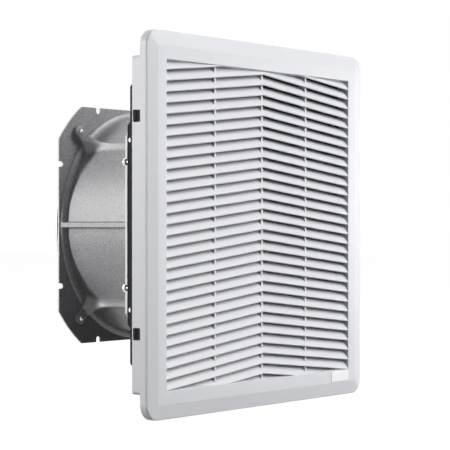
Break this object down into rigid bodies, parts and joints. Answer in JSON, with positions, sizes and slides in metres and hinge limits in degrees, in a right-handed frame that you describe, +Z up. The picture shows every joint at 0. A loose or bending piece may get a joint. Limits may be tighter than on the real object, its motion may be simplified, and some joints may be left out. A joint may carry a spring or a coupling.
{
  "type": "cabinet filter fan",
  "caption": "Square louvred filter fan for a cabinet wall: hinged chevron grille over a filter mat, clip-in frame, black carrier duct and an axial fan with octagonal end plates.",
  "frame": {"origin": "centre of the square panel cut-out, on the rear face of the flange where it meets the panel", "axes": "+X to the right seen from the front, +Y into the cabinet along the fan's axis, +Z up"},
  "size_m": [0.325, 0.1567, 0.325],
  "materials": {
    "grey_plastic": "light grey moulded plastic, fine matte grain",
    "white_plastic": "blank white plate, satin",
    "black_plastic": "black moulded plastic, matte",
    "black_paint": "black powder coat on sheet steel",
    "foam": "closed-cell foam strip",
    "filter_fleece": "needled synthetic fleece",
    "silver_paint": "metallic silver paint with bare cut edges",
    "cast_aluminium": "grainy die-cast surface, silver paint",
    "zinc_steel": "bright zinc plate",
    "wire_steel": "plated wire",
    "bearing_steel": "ground bearing steel",
    "lamination": "stacked electrical steel sheets",
    "copper_wire": "enamelled copper wire, varnished",
    "rotor_paint": "black dip paint"
  },
  "bodies": {
    "frame": {"base_frame": "grey_plastic", "panel_gasket": "foam", "clip_pins": "zinc_steel", "filter_mat": "filter_fleece", "filter_support": "grey_plastic", "carrier_plate": "black_paint", "plate_screws": "zinc_steel", "fan_duct": "black_plastic", "adapter_plate": "black_paint", "adapter_rivets": "zinc_steel", "fan_studs": "zinc_steel", "fan_nuts": "zinc_steel", "fan_front_plate": "silver_paint", "fan_housing": "cast_aluminium", "motor_spider": "silver_paint", "fan_rear_plate": "silver_paint", "front_plate_screws": "zinc_steel", "corner_screws": "zinc_steel", "finger_guard": "wire_steel", "motor_base": "cast_aluminium", "motor_screws": "zinc_steel", "front_bearing": "bearing_steel", "rear_bearing": "bearing_steel", "stator_core": "lamination", "windings": "copper_wire", "terminal_block": "black_plastic", "terminal_screws": "zinc_steel", "earth_screw": "zinc_steel"},
    "cover": {"front_cover": "grey_plastic", "louvre_grille": "grey_plastic", "badge_plate": "white_plastic"},
    "rotor": {"shaft": "bearing_steel", "rotor_cup": "rotor_paint", "rotor_core": "lamination", "impeller": "rotor_paint", "impeller_rivets": "zinc_steel"},
    "upper_left_clip": {"clip_left_upper": "black_plastic"},
    "lower_left_clip": {"clip_left_lower": "black_plastic"},
    "upper_right_clip": {"clip_right_upper": "black_plastic"},
    "lower_right_clip": {"clip_right_lower": "black_plastic"}
  },
  "joints": [
    {"name": "impeller_spin", "type": "hinge", "parent": "frame", "child": "rotor", "pos_m": [0, 0.1, 0], "axis": [0, 1, 0], "continuous": true},
    {"name": "cover_hinge", "type": "hinge", "parent": "frame", "child": "cover", "pos_m": [0, -0.0032, -0.1595], "axis": [1, 0, 0], "range_deg": [0, 90]},
    {"name": "clip_left_upper_swing", "type": "hinge", "parent": "frame", "child": "upper_left_clip", "pos_m": [-0.13985, 0.02, 0.092], "axis": [0, 0, 1], "range_deg": [0, 18], "stiffness_Nm_per_rad": 0.15},
    {"name": "clip_left_lower_swing", "type": "hinge", "parent": "frame", "child": "lower_left_clip", "pos_m": [-0.13985, 0.02, -0.092], "axis": [0, 0, 1], "range_deg": [0, 18], "stiffness_Nm_per_rad": 0.15},
    {"name": "clip_right_upper_swing", "type": "hinge", "parent": "frame", "child": "upper_right_clip", "pos_m": [0.13985, 0.02, 0.092], "axis": [0, 0, -1], "range_deg": [0, 18], "stiffness_Nm_per_rad": 0.15},
    {"name": "clip_right_lower_swing", "type": "hinge", "parent": "frame", "child": "lower_right_clip", "pos_m": [0.13985, 0.02, -0.092], "axis": [0, 0, -1], "range_deg": [0, 18], "stiffness_Nm_per_rad": 0.15}
  ]
}
